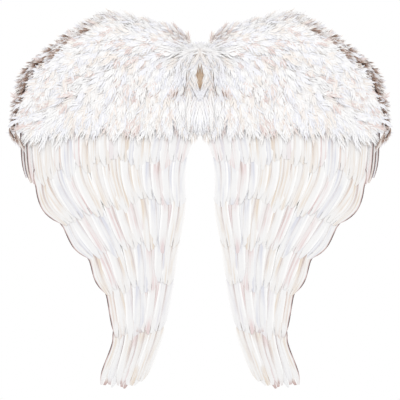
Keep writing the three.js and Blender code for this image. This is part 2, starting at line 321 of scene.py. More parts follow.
class Graph:
    """A hand that lays out a material's nodes."""

    def __init__(self, name: str) -> None:
        """Starts a material with a Principled shader."""
        self.material = bpy.data.materials.new(name)
        self.material.use_nodes = True
        self.tree = self.material.node_tree
        self.shader = self.tree.nodes["Principled BSDF"]

    def node(self, kind: str, inputs: dict | None = None, **settings: object) -> bpy.types.Node:
        """Adds a node.

        Args:
            kind: The node's type.
            inputs: Sockets by name or number, each given a value or a socket to link from.
            **settings: Properties of the node.

        Returns:
            The new node.
        """
        made = self.tree.nodes.new(kind)
        for key, value in settings.items():
            setattr(made, key, value)
        for key, value in (inputs or {}).items():
            if isinstance(value, bpy.types.NodeSocket):
                self.tree.links.new(value, made.inputs[key])
            else:
                made.inputs[key].default_value = value
        return made

    def parts(self, attribute: str) -> tuple:
        """The attribute as a vector, and its three parts."""
        read = self.node("ShaderNodeAttribute", attribute_name=attribute)
        split = self.node("ShaderNodeSeparateXYZ", {0: read.outputs["Vector"]})
        return (read.outputs["Vector"], *split.outputs)

    def calc(self, first: object, second: object, operation: str = "MULTIPLY") -> bpy.types.NodeSocket:
        """The product of two numbers or sockets, or what another operation makes of them."""
        return self.node("ShaderNodeMath", {0: first, 1: second}, operation=operation).outputs[0]

    def noise(self, vector: bpy.types.NodeSocket, stretch: tuple, detail: float = 3) -> bpy.types.NodeSocket:
        """Noise on a stretched vector.

        Args:
            vector: Where the noise is read.
            stretch: Scale of each of the vector's parts.
            detail: How many finer layers it has.

        Returns:
            The noise, about 0 to 1.
        """
        placed = self.node("ShaderNodeMapping", {"Vector": vector, "Scale": stretch})
        made = self.node(
            "ShaderNodeTexNoise", {"Vector": placed.outputs[0], "Scale": 1.0, "Detail": detail}
        )
        return made.outputs["Fac"]

    def ramp(self, value: bpy.types.NodeSocket, low: float, high: float) -> bpy.types.NodeSocket:
        """A clamped soft ramp.

        Args:
            value: What is read.
            low: The value at which the ramp is 0.
            high: The value at which it is 1, which may be the lower of the two.

        Returns:
            The ramp, from 0 to 1.
        """
        made = self.node(
            "ShaderNodeMapRange",
            {"Value": value, "From Min": low, "From Max": high},
            interpolation_type="SMOOTHSTEP",
        )
        return made.outputs["Result"]

    def blend(self, share: object, first: object, second: object) -> bpy.types.NodeSocket:
        """A mix of two colours or colour sockets.

        Args:
            share: How much of the second, from 0 to 1.
            first: The first colour.
            second: The second colour.

        Returns:
            The mixed colour.
        """
        made = self.node("ShaderNodeMix", {"Factor": share}, data_type="RGBA")
        for socket, value in ((made.inputs[6], first), (made.inputs[7], second)):
            if isinstance(value, bpy.types.NodeSocket):
                self.tree.links.new(value, socket)
            else:
                socket.default_value = (*value, 1)
        return made.outputs[2]

    def finish(self, colour: bpy.types.NodeSocket, height: bpy.types.NodeSocket, **values: float) -> None:
        """Links the colour and the relief, and sets the shader's own values.

        Args:
            colour: The base colour.
            height: The relief.
            **values: relief_depth in metres, roughness, sheen and specular.
        """
        bump = self.node(
            "ShaderNodeBump", {"Height": height, "Distance": values["relief_depth"], "Strength": 1.0}
        )
        self.tree.links.new(colour, self.shader.inputs["Base Color"])
        self.tree.links.new(bump.outputs[0], self.shader.inputs["Normal"])
        self.shader.inputs["Roughness"].default_value = values["roughness"]
        self.shader.inputs["Sheen Weight"].default_value = values["sheen"]
        self.shader.inputs["Specular IOR Level"].default_value = values["specular"]


@dataclass(frozen=True)
class VaneFinish:
    """Flat feathers: satin barbs, pastel streaks, a painted highlight along the edges, a rosy quill with
    painted shadow beside it, and painted shade on the outer edges.
    """

    white: tuple = (0.775, 0.77, 0.768)
    # edge: painted highlight along each feather's edges, where they catch the light.
    edge: tuple = (0.85, 0.846, 0.843)
    sand: tuple = (0.68, 0.585, 0.49)
    rose: tuple = (0.67, 0.52, 0.515)
    mauve: tuple = (0.61, 0.615, 0.675)
    # quill: a rosy quill, with painted shadow beside it that is strongest just below the tips of the row
    # above.
    quill: tuple = (0.47, 0.35, 0.32)
    # shade_umber and rim: painted shade on the outermost feathers' outer edges, which turn away from the
    # light, and on the lowest tips.
    shade_umber: tuple = (0.5, 0.37, 0.35)
    rim: tuple = (0.035, 0.018, 0.02)
    streak_stretch: tuple = (0.28, 0.012, 1)
    patch_stretch: tuple = (0.03, 0.012, 1)
    barb_stretch: tuple = (1.1, 0.05, 1)
    edge_highlight: tuple = (9.0, 14.0)
    quill_shade: tuple = (3.4, 0.2)

    def material(self) -> bpy.types.Material:
        """Builds the material, with places across and along a feather in millimetres."""
        graph = Graph("feather_vanes")
        lay, across, *_ = graph.parts("lay")
        _, tint, stain, shaft = graph.parts("tone")
        streaks = graph.noise(lay, self.streak_stretch, 4)
        broad = graph.noise(lay, self.patch_stretch, 2)
        barbs = graph.noise(lay, self.barb_stretch, 3)
        beside = graph.calc(across, 0.0, "ABSOLUTE")
        warm = graph.blend(graph.ramp(tint, 0.3, 0.45), self.sand, self.rose)
        hue = graph.blend(graph.ramp(tint, 0.6, 0.7), warm, self.mauve)
        share = graph.calc(graph.ramp(streaks, 0.385, 0.685), graph.ramp(broad, 0.3, 0.6))
        colour = graph.blend(share, self.white, hue)
        colour = graph.blend(graph.calc(graph.ramp(barbs, 0.45, 0.8), 0.1), colour, self.mauve)
        # Painted highlight: the outer millimetres of each feather lighter, as if catching the light.
        colour = graph.blend(graph.ramp(beside, *self.edge_highlight), colour, self.edge)
        # Painted shadow beside the quill, strongest just below the covering row's tips and fading down; the
        # quill itself is darker too.
        shade = graph.calc(shaft, graph.ramp(beside, *self.quill_shade))
        colour = graph.blend(graph.calc(shade, graph.ramp(broad, 0.25, 0.6)), colour, self.quill)
        # Painted shade on the outer edges and the lowest tips: shade_umber where weak, near black where
        # strong.
        colour = graph.blend(graph.ramp(stain, 0.0, 0.45), colour, self.shade_umber)
        colour = graph.blend(graph.ramp(stain, 0.35, 0.9), colour, self.rim)
        graph.finish(colour, barbs, relief_depth=0.25 * MM, roughness=0.62, sheen=0.1, specular=0.3)
        return graph.material


@dataclass(frozen=True)
class DownFinish:
    """Down: matte white barbs with a few tinted plumes, painted warm shade towards the roots and painted tan
    to brown shade round the rim.
    """

    white: tuple = (0.855, 0.85, 0.85)
    sand: tuple = (0.82, 0.755, 0.7)
    rose: tuple = (0.7, 0.57, 0.55)
    mauve: tuple = (0.79, 0.795, 0.85)
    # root: painted shade, slightly warm, deep in the coat towards each plume's root.
    root: tuple = (0.84, 0.79, 0.76)
    # tan and brown: painted shade round the rim, where the down curls back from the light, and in the dark
    # marks.
    tan: tuple = (0.32, 0.21, 0.16)
    brown: tuple = (0.035, 0.018, 0.014)
    strand_stretch: tuple = (0.5, 0.1, 1)
    patch_stretch: tuple = (0.35, 0.04, 1)

    def material(self) -> bpy.types.Material:
        """Builds the material, whose painted shade shows in patches and everywhere where it is strong."""
        graph = Graph("down_barbs")
        lay, *_ = graph.parts("lay")
        _, tint, stain, depth = graph.parts("tone")
        strands = graph.noise(lay, self.strand_stretch, 2)
        strength = graph.ramp(strands, 0.2, 0.7)
        colour = graph.blend(graph.calc(graph.ramp(tint, 0.34, 0.2), strength), self.white, self.sand)
        colour = graph.blend(graph.calc(graph.ramp(tint, 0.12, 0.05), strength), colour, self.rose)
        colour = graph.blend(graph.calc(graph.ramp(tint, 0.68, 0.8), strength), colour, self.mauve)
        # Painted shade towards each plume's root, deep in the coat.
        colour = graph.blend(graph.calc(depth, 0.5), colour, self.root)
        patches = graph.ramp(graph.noise(lay, self.patch_stretch, 2), 0.35, 0.6)
        # Painted shade at the rim: weak shade shows in patches, strong shade everywhere.
        stain = graph.calc(graph.calc(stain, 0.45), graph.calc(graph.calc(stain, 0.6), patches), "ADD")
        colour = graph.blend(graph.ramp(stain, 0.0, 0.5), colour, self.tan)
        colour = graph.blend(graph.ramp(stain, 0.45, 1.0), colour, self.brown)
        graph.finish(colour, strands, relief_depth=0.1 * MM, roughness=0.95, sheen=0.25, specular=0.1)
        return graph.material


@dataclass(frozen=True)
class FeltFinish:
    """Pressed felt: matted fibres and faint mottling."""

    name: str
    light: tuple
    dark: tuple
    relief: float = 0.5 * MM
    fibre_stretch: tuple = (900, 900, 900)
    matting_stretch: tuple = (140, 90, 60)
    mottling_stretch: tuple = (14, 14, 14)

    def material(self) -> bpy.types.Material:
        """Builds the material."""
        graph = Graph(self.name)
        place = graph.node("ShaderNodeTexCoord").outputs["Object"]
        fibres = graph.noise(place, self.fibre_stretch, 5)
        matting = graph.noise(place, self.matting_stretch, 4)
        mottling = graph.noise(place, self.mottling_stretch, 2)
        share = graph.calc(graph.ramp(matting, 0.3, 0.8), graph.ramp(mottling, 0.1, 0.9))
        colour = graph.blend(share, self.light, self.dark)
        colour = graph.blend(graph.calc(graph.ramp(fibres, 0.5, 0.75), 0.25), colour, self.dark)
        relief = graph.calc(fibres, graph.calc(matting, 2.0), "ADD")
        graph.finish(colour, relief, relief_depth=self.relief, roughness=0.95, sheen=0.4, specular=0.1)
        return graph.material


@dataclass(frozen=True)
class ElasticFinish:
    """Woven elastic: lengthwise ribs crossed by fine weft threads, with painted shade in the hollows between
    them.
    """

    light: tuple = (0.86, 0.85, 0.83)
    dark: tuple = (0.6, 0.58, 0.55)
    rib_pitch: float = 2.1
    weft_pitch: float = 1.1
    wear_stretch: tuple = (0.08, 0.03, 1)

    def material(self) -> bpy.types.Material:
        """Builds the material, with pitches in millimetres."""
        graph = Graph("woven_elastic")
        lay, across, along, _ = graph.parts("lay")
        turns = 2 * math.pi
        ribs = graph.node(
            "ShaderNodeMath", {0: graph.calc(across, turns / self.rib_pitch)}, operation="SINE"
        ).outputs[0]
        weft = graph.node(
            "ShaderNodeMath", {0: graph.calc(along, turns / self.weft_pitch)}, operation="SINE"
        ).outputs[0]
        relief = graph.calc(ribs, graph.calc(weft, 0.5), "ADD")
        wear = graph.noise(lay, self.wear_stretch, 3)
        # Painted shade in the low parts of the weave.
        groove_shade = graph.ramp(relief, 0.2, -1.2)
        colour = graph.blend(graph.calc(groove_shade, 0.7), self.light, self.dark)
        colour = graph.blend(graph.calc(graph.ramp(wear, 0.5, 0.8), 0.3), colour, self.dark)
        graph.finish(colour, relief, relief_depth=0.18 * MM, roughness=0.8, sheen=0.2, specular=0.2)
        return graph.material


@dataclass(frozen=True)
class Route:
    """A line on the wing, sampled so that it can be read quickly."""

    share: np.ndarray
    places: np.ndarray
    across: np.ndarray

    @classmethod
    def down_the_wing(cls, across_share: float, start: float, end: float) -> "Route":
        """The line that feathers follow at a share of the wing's width.

        Args:
            across_share: From 0 at the inner side to 1 at the outer side.
            start: Tip line at the root, with parts of a line counted.
            end: Tip line at the tip.

        Returns:
            The sampled route.
        """
        stations = [through(SHEET.place(line), np.array([across_share]))[0] for line in TIP_LINES]
        share = np.linspace(0, 1, ROUTE_SAMPLES)
        places = through(np.array(stations), (start + (end - start) * share) / LAST_LINE)
        last_step = (places[-1] - places[-2]) * (ROUTE_SAMPLES - 1)
        share = np.append(share, 1 + ROUTE_OVERRUN)
        places = np.vstack([places, places[-1] + last_step * ROUTE_OVERRUN])
        run = np.gradient(places, axis=0)
        run /= np.linalg.norm(run, axis=1)[:, None]
        return cls(share, places, np.stack([-run[:, 1], run[:, 0]], axis=-1))

    @property
    def length(self) -> float:
        """The route's length in metres."""
        return float(np.linalg.norm(np.diff(self.places[:-1], axis=0), axis=1).sum())

    def moved(self, outwards: tuple) -> "Route":
        """The same line moved outwards.

        Args:
            outwards: Millimetres at the start of its uncovered part, at that part's middle and at its tip.

        Returns:
            The moved route.
        """
        uncovered = (self.share - ROUTE_COVERED) / (1 - ROUTE_COVERED)
        out = through(np.array(outwards)[:, None] * MM, uncovered)
        return Route(self.share, self.places + self.across * out, self.across)

    def read(self, share: np.ndarray, beside: np.ndarray) -> tuple[np.ndarray, np.ndarray]:
        """Places at shares of the route, moved sideways.

        Args:
            share: How far along, from 0 to 1.
            beside: How far to the outer side, in metres.

        Returns:
            The x and z of each place.
        """
        x, z, cx, cz = (
            np.interp(share, self.share, column)
            for column in (*self.places.T, *self.across.T)
        )
        return x + cx * beside, z + cz * beside


@dataclass(frozen=True)
class VaneRow:
    """One tier of flat feathers: the tip line it reaches and how many it has.

    Lobe is how far the outermost feather moves outwards, in millimetres, at the start of its uncovered part,
    at its middle and at its tip.
    """

    number: int
    line: float
    count: int
    lobe: tuple
    edge_count: int = 0
    # tip_stain: painted shade on the tips of the row's outer half, along the wing's lower edge.
    tip_stain: float = 0.0


@dataclass
class FlatFeathers:
    """The tiers of flat feathers on the lower two thirds of each wing.

    Strand_cover is how much of its own share of the feather's width each strand has, so strands overlap a
    little. Tip_from is where along a feather its tip starts to dip, and strand_parting where its strands
    part. Waver is the mean, the swing and the turns of the painted shade's strength along an outermost
    feather's outer edge.
    """

    width: float = 29 * MM
    edge_width: float = 13 * MM
    edge_step: float = 6 * MM
    edge_room: float = 0.05
    edge_tilt: float = 1.6 * MM
    edge_drop: float = 0.6 * MM
    edge_lengths: tuple = (0.03, 0.08)
    row_overlap: float = 0.45
    root_height: float = 1.5 * MM
    rise: float = 2.9 * MM
    tilt: float = 0.42 * MM
    camber: float = 0.4 * MM
    thickness: float = 0.14 * MM
    strand_width: float = 14.5 * MM
    strand_cover: float = 1.05
    strand_step: float = 0.05 * MM
    strand_curl: float = 0.08 * MM
    strand_splay: float = 0.03
    strand_parting: float = 0.6
    bow: float = 0.4 * MM
    tip_dip: float = 1.65 * MM
    tip_from: float = 0.72
    rim_depth: float = 3.8 * MM
    edge_rim_depth: float = 2.3 * MM
    waver: tuple = (0.72, 0.28, 2.6)
    quill_radius: float = 0.45 * MM
    quill_reach: float = 0.88
    lift: float = 0.12 * MM
    wander: float = 0.12
    shortening: tuple = (-0.26, 0.1)
    seed: int = 11
    rows: tuple = (
        VaneRow(1, 5, 17, (0, 0, 0), 3), VaneRow(2, 6, 14, (-11, 2.5, -5)),
        VaneRow(3, 7, 11, (-8, 2, -2)), VaneRow(4, 8, 8, (-8, 1, -4)),
        VaneRow(5, 9, 7, (-9, -4, -2), 0, 0.3), VaneRow(6, 10.1, 7, (-5, 0, 5), 0, 0.65),
    )

    def __post_init__(self) -> None:
        """Makes the templates and starts the random draws."""
        self.strand = Template.grid(across=4, along=16)
        self.quill = Template.rod(sides=5, lengths=10)
        self.draws = np.random.default_rng(self.seed)

    def outline(self, share: np.ndarray) -> np.ndarray:
        """How wide a feather is along its length: it opens near its root and closes at its tip.

        Args:
            share: How far along the feather, from 0 to 1.

        Returns:
            The share of the full width.
        """
        opening = 0.35 + 0.65 * smoothstep(share, 0, 0.16)
        closing = np.clip((share - 0.5) / 0.53, 0, 0.985)
        return opening * np.sqrt(1 - closing**2.6)

    def add_vane(self, stock: Stock, route: Route, **lie: float) -> None:
        """Adds one feather, made of a few long strands of barbs that part at its tip.

        Args:
            stock: What the feather is added to.
            route: The line of its quill.
            **lie: its width, the tilt of its outer edge over its quill, its lift over its place in the row,
            how much painted shade darkens its outer edge (rim) and its tip, and if it is chosen, the depth of
            that edge.
        """
        draws = self.draws
        tint, shade = draws.uniform(0, 1, 2)
        bow = draws.uniform(-self.bow, self.bow)
        across, along = self.strand.points[:, 0], self.strand.points[:, 1]
        count = round(lie["width"] / self.strand_width)
        inner = 1 - lie.get("rim_depth", self.rim_depth) / (lie["width"] / 2)
        mean, swing, turns = self.waver
        for n in range(count):
            middle = (2 * n + 1) / count - 1
            share = along * draws.uniform(0.97, 1.02)
            narrowed = 1 - 0.25 * smoothstep(along, 0.8, 1)
            place = middle + (across - 0.5) * 2 * self.strand_cover / count * narrowed
            splay = draws.normal(0, self.strand_splay) * smoothstep(along, self.strand_parting, 1)
            beside = (place + splay) * self.outline(share) * lie["width"] / 2
            height = (
                self.root_height + lie["lift"] + self.rise * share + bow * np.sin(math.pi * share)
                + lie["tilt"] * place * smoothstep(share, 0, 0.4) - self.camber * place**2
                + self.strand_step * (n % 2) + draws.normal(0, self.strand_curl) * smoothstep(along, 0.7, 1)
                - self.tip_dip * smoothstep(share, self.tip_from, 1.0)
            )
            x, z = route.read(share, beside)
            number = np.full(len(share), stock.count % 9973 * 0.37)
            lay = np.stack([beside / MM, share * route.length / MM, number], axis=-1)
            waver = mean + swing * np.sin(2 * math.pi * (turns * share + tint))
            fading = 1 - 0.75 * smoothstep(share, 0.65, 1)
            # Painted shade along the outer edge, wavering and fading towards the tip, and on the lowest tips.
            stain = lie["rim"] * smoothstep(place, inner, 0.95) * waver * fading
            stain = stain + lie["tip"] * smoothstep(share, 0.86, 1.0) * draws.uniform(0, 1)
            # Shaft: the strength of the painted shadow beside the quill, full under the row above and fading
            # towards the tip.
            shaft = (0.15 + 0.85 * shade**1.6) * smoothstep(share, 0.95, 0.3)
            stock.add(SHEET.on_wing(x, z, height), self.strand, lay, (tint, np.clip(stain, 0, 1), shaft))
        self.add_quill(stock, route, tint * shade, lie["lift"], bow)

    def add_quill(self, stock: Stock, route: Route, tint: float, lift: float, bow: float) -> None:
        """Adds a feather's quill, thick at the root and fine at the tip.

        Args:
            stock: What the quill is added to.
            route: Its line.
            tint: The feather's tint.
            lift: How far the feather stands over its place in the row.
            bow: How far the middle of the feather stands over a straight rise.
        """
        rod = self.quill.points
        share = rod[:, 2] * self.quill_reach
        radius = self.quill_radius * (1 - 0.9 * share)
        height = self.root_height + lift + self.rise * share + bow * np.sin(math.pi * share)
        height = height + radius * (0.5 + rod[:, 1]) - self.tip_dip * smoothstep(share, self.tip_from, 1.0)
        x, z = route.read(share, rod[:, 0] * radius)
        lay = np.stack([rod[:, 0], share * route.length / MM, np.full(len(share), 1.0)], axis=-1)
        stock.add(SHEET.on_wing(x, z, height), self.quill, lay, (tint, 0.0, 0.5 - 0.5 * share))

    def row_stock(self, row: VaneRow) -> Stock:
        """Gathers one row of feathers, with any narrow ones that stand nearly edge-on at its outer side.

        Args:
            row: The row.

        Returns:
            The row's feathers for the right wing.
        """
        stock = Stock()
        start = row.line - 1 - self.row_overlap
        last = row.count - 1
        reach = 1 - self.edge_room * (row.edge_count > 0)
        for place in range(row.count):
            outermost = place == last
            wander = self.draws.normal(0, self.wander) / row.count if 0 < place < last else 0.0
            end = row.line + self.draws.uniform(*self.shortening) * (not outermost)
            route = Route.down_the_wing(place / last * reach + wander, start, min(LAST_LINE, end))
            if outermost:
                route = route.moved(row.lobe)
            # The outermost feather's outer edge gets painted shade, weaker where edge-on feathers stand
            # beyond it.
            self.add_vane(
                stock, route, width=self.width, tilt=self.tilt,
                lift=self.draws.uniform(-self.lift, self.lift),
                rim=(0.3 if row.edge_count else 1.3) * outermost,
                tip=row.tip_stain * float(place >= last / 2),
            )
        first_short, more_short = self.edge_lengths
        # Narrow feathers standing edge-on at the outer side, darkened with painted shade that grows outwards.
        for extra in range(row.edge_count):
            route = Route.down_the_wing(1.0, start, row.line - first_short - more_short * extra)
            self.add_vane(
                stock, route.moved((self.edge_step / MM * (extra + 0.6),) * 3), width=self.edge_width,
                tilt=self.edge_tilt, lift=-self.edge_drop * (extra + 1), rim=2.1 + 1.4 * extra, tip=0.0,
                rim_depth=self.edge_rim_depth * (1 + extra / 4),
            )
        return stock

    def dress(self, material: bpy.types.Material) -> None:
        """Builds both wings' rows in place of the model's."""
        for row in self.rows:
            stock = self.row_stock(row)
            for side in Side:
                piece = stock.piece(f"{side.word}_flat_feathers_{row.number}", side, material)
                thicken(piece, self.thickness)
                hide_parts(f"{side.word}_vane_row_{row.number}")
                LOG.info("%s: %d feathers", piece.name, row.count + row.edge_count)


@dataclass
class DownCoat:
    """The coat of down over the top third of each wing.

    Window is the patch over the tan panel that the rows leave free: its half width, bottom and top. Source is
    where the down parts, as shares of the half span and of the height. Gap pairs distances below the origin
    with half the width that the hanging tufts leave open there. Outsets are how far the rim's plumes end past
    the crest's tips, and stains how strongly painted shade darkens them, each at its own shares of the way
    round the crest. Each mark is one chosen tuft: its root's x and z, its angle from straight down, its
    length, how slim it is and its painted shade. Gap, outsets and marks are in millimetres, and slimness is a
    share of a full plume's width.
    """

    plume_length: float = 36 * MM
    barb_width: float = 2.0 * MM
    barb_flatness: float = 0.1
    barbs_a_plume: int = 10
    shaft_length: float = 0.98
    barb_lengths: tuple = (0.62, 0.36)
    barb_angles: tuple = (38, 20)
    barb_turns: tuple = (10, 48)
    barb_bulge: tuple = ((0, 0.5, 1), (0.6, 1.0, 0.1))
    plume_arch: float = 0.07
    plume_roll: float = 0.14
    kinds: int = 10
    crest_count: int = 620
    rim_count: int = 640
    row_count: int = 300
    rim_lengths: tuple = (15 * MM, 27 * MM)
    rim_slimness: float = 0.6
    most_stain: float = 1.2
    lowest_height: float = 0.4 * MM
    rim_width: float = 27 * MM
    parting: float = 20 * MM
    parting_share: float = 0.09
    window: tuple = (12 * MM, -2 * MM, 78 * MM)
    source: tuple = (0.03, 0.1)
    gap: tuple = ((-80, -62, -45, -26, -7, 4, 24), (-12, -9, 0, 19, 8, -4, -14))
    outset_shares: tuple = (
        0, 0.1, 0.2, 0.28, 0.33, 0.38, 0.42, 0.47, 0.52, 0.6, 0.67, 0.78, 0.83, 0.9, 0.95, 1,
    )
    outsets: tuple = (7, 6, 7, 9, 4, 5, 1, -5, -1, -4, -6, -4, -8, -6, -5, -4)
    # Painted shade round the rim: along the crest's notch in the middle, strongest at the outer side where
    # the down curls back from the light.
    stain_shares: tuple = (
        0, 0.03, 0.1, 0.14, 0.28, 0.33, 0.4, 0.45, 0.49, 0.53, 0.6, 0.62, 0.66, 0.7, 0.75, 0.8, 0.88, 0.95, 1,
    )
    stains: tuple = (
        0, 0.25, 0.2, 0, 0.05, 0.25, 0.2, 0.5, 0.4, 0.8, 0.8, 0.5, 1.1, 1.1, 0.7, 1.2, 1.1, 1.6, 1.2,
    )
    whorl_count: int = 96
    whorl_radii: tuple = (1 * MM, 22 * MM)
    hanging_count: int = 34
    hanging_slimness: tuple = (0.36, 0.55)
    mark_height: float = 15 * MM
    # Marks with painted shade are dark strands laid where the down lies in shadow: beside the middle tufts,
    # along the crest's notch and at the outer rim. Those without it are white fillers.
    marks: tuple = (
        (27, 34, 0.02, 34, 0.1, 1.0), (28, 10, 0.2, 34, 0.12, 1.0),
        (43, -4, 0.35, 20, 0.3, 0.7), (50, -8, 0.3, 17, 0.3, 0.6),
        (376, -88, -0.35, 28, 0.5, 0.9), (370, -92, -0.4, 30, 0.5, 0.7), (379, -80, -0.2, 24, 0.5, 1.0),
        (362, -96, -0.4, 34, 0.25, 0.5), (368, -86, -0.3, 36, 0.3, 0.6), (357, -104, -0.35, 30, 0.25, 0.9),
        (366, -94, -0.45, 36, 0.22, 0.05), (28, 82, 2.0, 24, 0.5, 0), (32, 79, 1.9, 22, 0.5, 0.05),
        (35, 102, 2.5, 15, 0.4, 0.3), (27, 94, 2.3, 13, 0.4, 0.4), (19, 87, 2.2, 12, 0.4, 0.3),
        (38, 58, 0.3, 32, 0.7, 0),
    )
    seed: int = 23

    def __post_init__(self) -> None:
        """Makes the plumes that the coat repeats."""
        self.draws = np.random.default_rng(self.seed)
        self.barb = Template.rod(sides=3, lengths=2)
        self.plumes = [self.plume() for _ in range(self.kinds)]
        self.crest_roots = SHEET.place(CREST_ROOTS)
        self.crest_tips = SHEET.place(CREST_TIPS)
        self.source_place = SHEET.place(self.source)

    def plume(self) -> tuple[Template, np.ndarray, np.ndarray]:
        """Makes one plume of length 1 along Y, flat in Z, with barbs to both sides of a shaft.

        Returns:
            The template, how near each point is to the plume's root, and its millimetres along its barb.
        """
        rod, draws = self.barb.points, self.draws
        step = rod[:, 2]
        half = self.barb_width / self.plume_length * np.interp(step, *self.barb_bulge)
        beside, over = rod[:, 0] * half, rod[:, 1] * half * self.barb_flatness
        (longest, shortening), (widest, closing) = self.barb_lengths, self.barb_angles
        points, near, run = [], [], []
        for n, start in enumerate((0.0, *np.linspace(0.02, 0.8, self.barbs_a_plume))):
            if n == 0:
                length, angle = self.shaft_length, 0.0
                turn = math.radians(draws.normal(0, 8))
                curl = draws.normal(0, 0.03)
            else:
                side = 1 if n % 2 else -1
                length = (longest - shortening * start) * draws.uniform(0.8, 1.2)
                angle = side * math.radians(widest - closing * start + draws.normal(0, 7))
                turn = math.radians(-side * draws.uniform(*self.barb_turns))
                curl = draws.uniform(-0.03, 0.05)
            heading = angle + turn * step * 0.5
            x = length * step * np.sin(heading) + beside * np.cos(heading)
            y = start + length * step * np.cos(heading) - beside * np.sin(heading)
            z = self.plume_arch * math.sin(math.pi * start) + curl * step**1.6 + over
            points.append(np.stack([x, y, z], axis=-1))
            near.append(np.clip(1 - (start + length * step * 0.9) * 1.7, 0, 1))
            run.append(length * step * self.plume_length / MM)
        offsets = np.arange(len(points))[:, None, None] * len(rod)
        quads = (self.barb.quads[None] + offsets).reshape(-1, 4)
        triangles = (self.barb.triangles[None] + offsets).reshape(-1, 3)
        template = Template(np.concatenate(points), quads, triangles)
        return template, np.concatenate(near), np.concatenate(run)

    def heading(self, place: np.ndarray, below_crest: float) -> float:
        """Which way down lies at a place.

        Args:
            place: The x and z of the root.
            below_crest: How far below the crest's tips the place is, in metres.

        Returns:
            The angle from straight down, growing towards the outer side.
        """
        away = place - self.source_place
        away = away / max(1e-6, float(np.linalg.norm(away)))
        across = float(place[0]) / SHEET.half_span
        fall = 0.42 * across**2 + 2.3 * float(smoothstep(np.array(below_crest), 0.02, 0.13))
        return math.atan2(away[0], -(away[1] - fall))

    def add_plume(self, stock: Stock, place: np.ndarray, angle: float, **lie: float) -> None:
        """Adds one plume.

        Args:
            stock: What the plume is added to.
            place: The x and z of its root.
            angle: Its angle from straight down, growing towards the outer side.
            **lie: height of its root, pitch off the wing, length and painted shade, and where they are
                   chosen, its
            tint and how slim it is.
        """
        draws = self.draws
        template, near, run = self.plumes[draws.integers(self.kinds)]
        x, y, z = template.points.T * lie["length"]
        x = x * draws.choice((-1.0, 1.0)) * lie.get("slim", 1.0)
        roll = draws.normal(0, self.plume_roll)
        x, z = x * math.cos(roll) - z * math.sin(roll), x * math.sin(roll) + z * math.cos(roll)
        share = y / lie["length"]
        droop = lie["pitch"] * (1 - 0.55 * share)
        out, lift = y * math.cos(lie["pitch"]), y * np.sin(droop)
        spread_x = out * math.sin(angle) + x * math.cos(angle)
        spread_z = -out * math.cos(angle) + x * math.sin(angle)
        height = np.maximum(lie["height"] + lift + z, self.lowest_height)
        points = SHEET.on_wing(place[0] + spread_x, place[1] + spread_z, height)
        lay = np.stack([x / MM, run, np.full(len(run), stock.count % 991)], axis=-1)
        stain = lie["stain"] * (1 - 0.85 * smoothstep(share, 0.45, 0.95))
        tint = lie.get("tint", draws.uniform(0, 1))
        # The third tone is painted shade near the plume's root.
        stock.add(points, template, lay, (tint, stain, near * 0.8))

    def crest_place(self, share: float, short: float) -> np.ndarray:
        """A place inside the crest's tips.

        Args:
            share: From 0 in the middle round to 1 at the outer side.
            short: How far inside the tips, in metres.

        Returns:
            The place.
        """
        root = through(self.crest_roots, np.array([share]))[0]
        tip = through(self.crest_tips, np.array([share]))[0]
        return tip + (root - tip) / np.linalg.norm(root - tip) * short

    def crest_stock(self) -> Stock:
        """Gathers the plumes round the crest: short ones darkened with painted shade at the rim, and white
        ones over them.
        """
        stock, draws = Stock(), self.draws
        for n in range(self.rim_count):
            share = ((n + draws.uniform(0, 1)) / self.rim_count) ** 0.9
            length = draws.uniform(*self.rim_lengths)
            outset = float(np.interp(share, self.outset_shares, self.outsets))
            place = self.crest_place(share, length + (draws.uniform(-4, 10) - outset) * MM)
            # The rim plumes carry painted shade, strongest at the outer side.
            stained = float(np.interp(share, self.stain_shares, self.stains))
            self.add_plume(
                stock, place, self.heading(place, 0.0) + float(np.clip(draws.normal(0, 0.35), -0.5, 0.5)),
                height=draws.uniform(1.5, 6.5) * MM, pitch=draws.uniform(0.0, 0.2), length=length,
                stain=min(self.most_stain, stained * draws.uniform(0.3, 1.4)), slim=self.rim_slimness,
            )
        for n in range(self.crest_count):
            share = (n + draws.uniform(0, 1)) / self.crest_count
            edge = self.rim_width * float(np.interp(share, (0, 0.3, 0.6, 1), (0.1, 0.1, 1, 1)))
            edge *= draws.uniform(0, 1.5)
            length = self.plume_length * draws.uniform(0.72, 1.05)
            below = edge + length + draws.uniform(-3, 26) * MM
            place = self.crest_place(share, below)
            self.add_plume(
                stock, place, self.heading(place, below) + draws.normal(0, 0.28),
                height=draws.uniform(2, 6) * MM, pitch=draws.uniform(0.0, 0.1), length=length, stain=0.0,
            )
        return stock

    def row_place(self, share: float, station: float) -> np.ndarray:
        """A place on the down between the tip lines, widened at the parting in the middle.

        Args:
            share: From 0 at the inner side to 1 at the outer side.
            station: The tip line, with parts of a line counted.

        Returns:
            The place.
        """
        stations = [through(SHEET.place(tips), np.array([share]))[0] for tips in TIP_LINES]
        place = through(np.array(stations), np.array([station / LAST_LINE]))[0]
        place[0] -= self.parting * max(0.0, 1 - share / self.parting_share)
        return place

